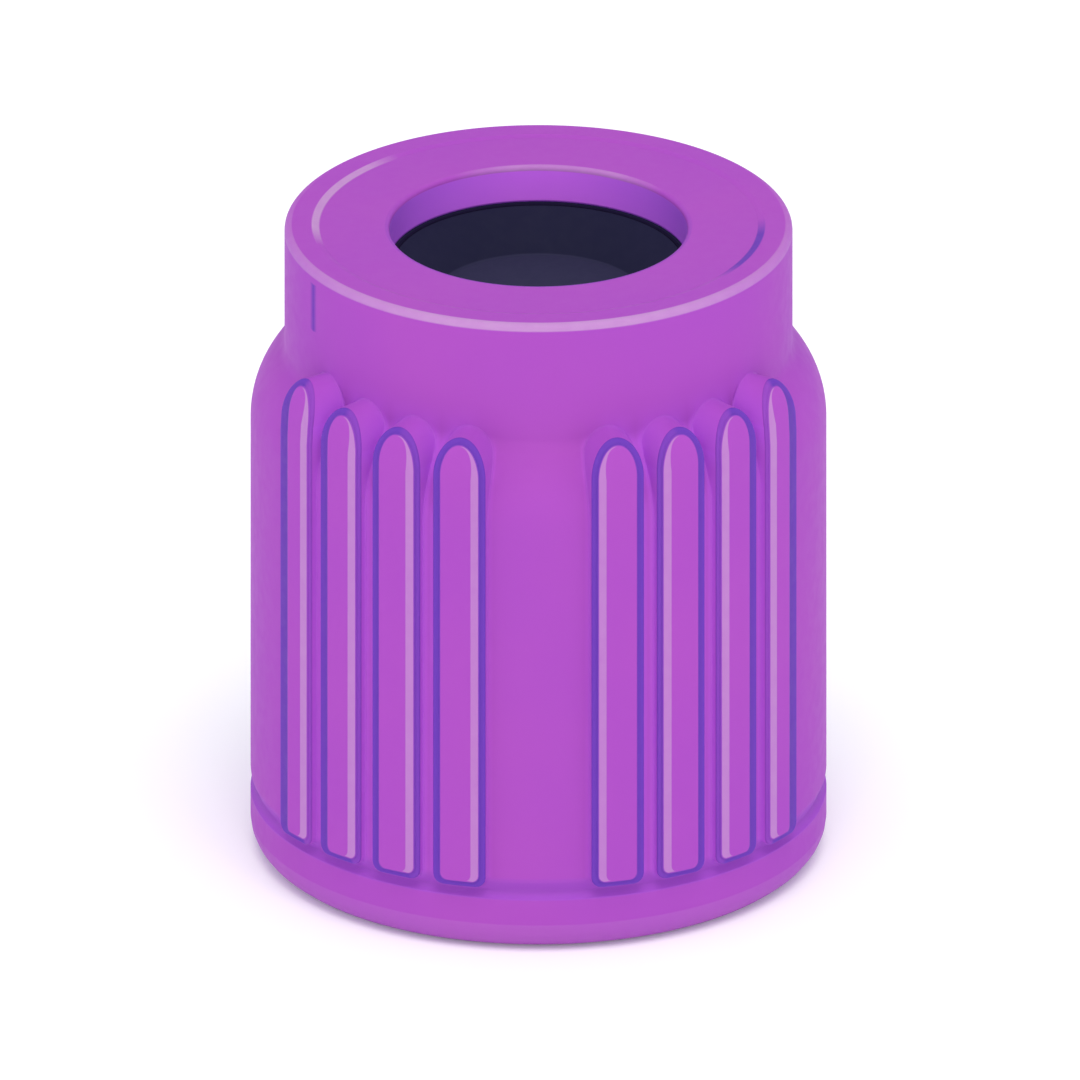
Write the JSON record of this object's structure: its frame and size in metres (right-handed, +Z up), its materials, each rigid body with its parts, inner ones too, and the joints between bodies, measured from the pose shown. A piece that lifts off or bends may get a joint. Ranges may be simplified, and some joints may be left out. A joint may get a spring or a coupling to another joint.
{
  "type": "blood collection tube closure",
  "caption": "Ribbed lavender safety cap for a blood collection tube, with a dark rubber stopper seen through the needle hole in its top.",
  "frame": {"origin": "on the axis, at the middle of the skirt's bottom edge, which the closure stands on", "axes": "+Z up the axis towards the needle hole, -Y towards the plain front panel between the two front rib groups, +X to the right of that view"},
  "size_m": [0.017, 0.0173, 0.0198],
  "materials": {
    "shield_plastic": "satin moulded polypropylene, lavender",
    "stopper_rubber": "matt dark grey butyl rubber"
  },
  "bodies": {
    "root": {"shield": "shield_plastic", "stopper": "stopper_rubber"}
  },
  "joints": []
}
